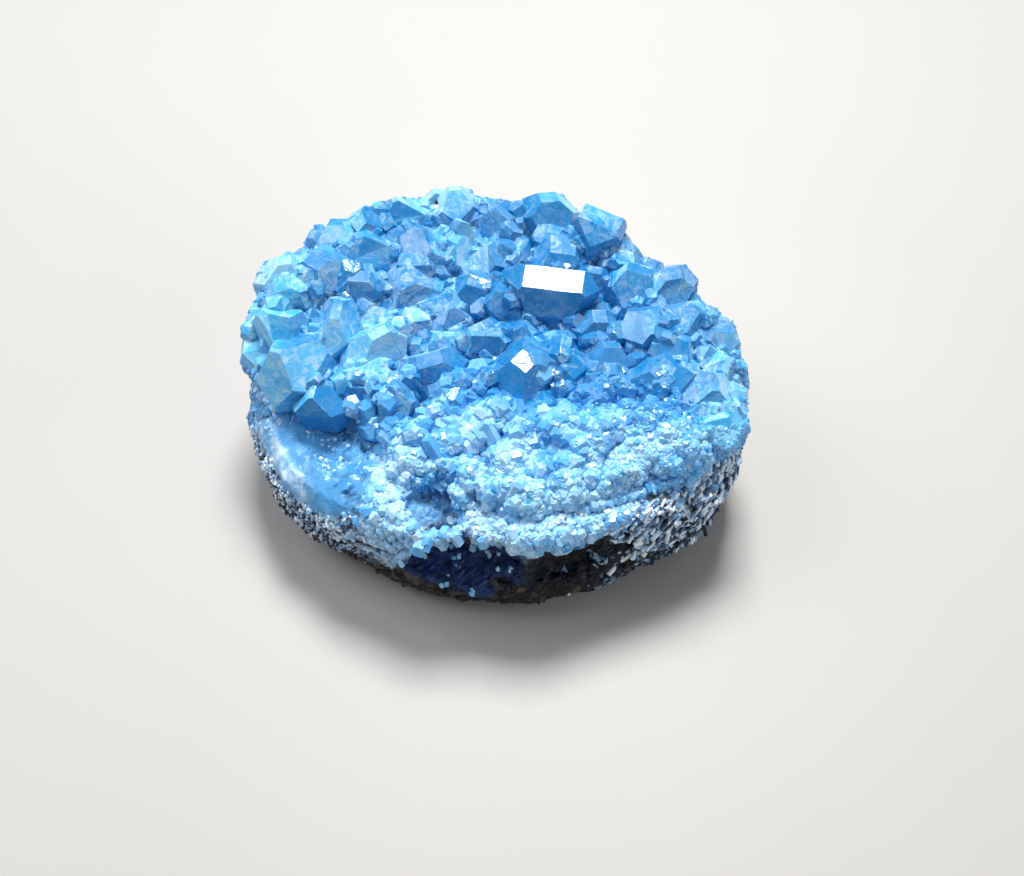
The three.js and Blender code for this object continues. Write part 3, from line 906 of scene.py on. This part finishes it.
def makeChips(material, shapes, rock):
    pick = random.Random(chips["seed"])
    places = []
    for place, way in surfaceSeats(rock, chipShare, chipStep, pick, set()):
        along = Vector((-place.y, place.x, 0)).normalized() + Vector((0, 0, chips["rise"]))
        along += chips["lean"] * scatter(pick, 1)
        if place.x < 0:
            along += 2 * way
        width = pick.uniform(*chips["width"])
        length = width * pick.uniform(*chips["long"])
        shape = Matrix.Diagonal((1, 1, length / width, 1))
        matrix = seatMatrix(place, along.normalized(), width, pick.uniform(0, math.pi)) @ shape
        bright = 0.2 + 0.35 * smoothStep(0.003, 0.018, place.z)
        tone = pick.choice(chips["tones"]) + bright + pick.gauss(0, 0.1)
        places.append((pick.randrange(len(shapes)), matrix, min(max(tone, 0.0), 1.0)))
    finishPiece(joinedCopies(shapes, places, "chips"), material, "host_rock")


# Floor, light and camera
floorLook = {"radius": 0.6, "colour": (0.42, 0.413, 0.404)}


def makeFloor():
    bm = bmesh.new()
    bmesh.ops.create_circle(bm, cap_ends=True, segments=128, radius=floorLook["radius"])
    floor = looseObject(bm, "floor")
    material, tree, shader, _ = newMaterial("floor")
    cloud = noiseOf(tree, objectPoints(tree), 14.0, 3.0)
    pale = floorLook["colour"]
    shade = tuple(0.95 * tone for tone in pale)
    tree.links.new(mixColour(tree, cloud, pale, shade), shader.inputs["Base Color"])
    shader.inputs["Roughness"].default_value = 0.55
    floor.data.materials.append(material)


lights = {
    "key": {"place": (0.034, 0.306, 0.552), "size": 0.2, "power": 6.2, "colour": (1.0, 0.98, 0.95)},
    "fill": {"place": (-0.45, 0.1, 0.5), "size": 0.4, "power": 2.2, "colour": (0.95, 0.97, 1.0)},
    "side": {"place": (0.42, -0.22, 0.26), "size": 0.3, "power": 0.65, "colour": (0.97, 0.98, 1.0)},
}
lightAim = Vector((0.0, 0.0, 0.02))
worldLook = {"colour": (0.9, 0.95, 1.0), "strength": 0.27}


def makeLights():
    for name, look in lights.items():
        lamp = bpy.data.lights.new(name, "AREA")
        lamp.size = look["size"]
        lamp.energy = look["power"]
        lamp.color = look["colour"]
        holder = bpy.data.objects.new(name, lamp)
        holder.location = look["place"]
        holder.rotation_euler = (lightAim - holder.location).to_track_quat("-Z", "Y").to_euler()
        scene.collection.objects.link(holder)
    world = bpy.data.worlds.new("studio")
    world.use_nodes = True
    back = world.node_tree.nodes["Background"]
    back.inputs["Color"].default_value = (*worldLook["colour"], 1.0)
    back.inputs["Strength"].default_value = worldLook["strength"]
    scene.world = world
    scene.view_settings.view_transform = "Standard"


cameraLook = {"place": (0.00325, -0.1168, 0.151), "tilt": math.radians(37.7), "lens": 38.67, "sensor": 36.0}


def makeCamera():
    view = bpy.data.cameras.new("camera")
    view.lens = cameraLook["lens"]
    view.sensor_width = cameraLook["sensor"]
    view.clip_start = 0.005
    holder = bpy.data.objects.new("camera", view)
    holder.location = cameraLook["place"]
    holder.rotation_euler = (cameraLook["tilt"], 0.0, 0.0)
    scene.collection.objects.link(holder)
    scene.camera = holder


makeCamera()
makeLights()
makeFloor()
print("stage set")
crystalCopy = cadCopy("crystals")
crystalTree = BVHTree.FromBMesh(crystalCopy)
crystalCopy.free()
rock = makeRock(rockMaterial(), crystalTree)
pick = random.Random(smallCrystals["seed"])
shapes = [crystalShape(pick) for _ in range(smallCrystals["shapes"])]
crystals = makeCrystals(celestiteMaterial("celestite", celestiteLook, 0.4), shapes)
druseMaterial = celestiteMaterial("druse", druseLook, 0.5)
taken = set()
makeDruse("crustDruse", druseMaterial, shapes, crystals, crustShare, taken)
makeDruse("rockDruse", druseMaterial, shapes, rock, rockShare, taken)
rockCopy = bmesh.new()
rockCopy.from_mesh(rock.data)
rockTree = BVHTree.FromBMesh(rockCopy)
rockCopy.free()
layerMaterial = strataMaterial()
makeStrata(layerMaterial, rockTree)
makeChips(layerMaterial, shapes, rock)
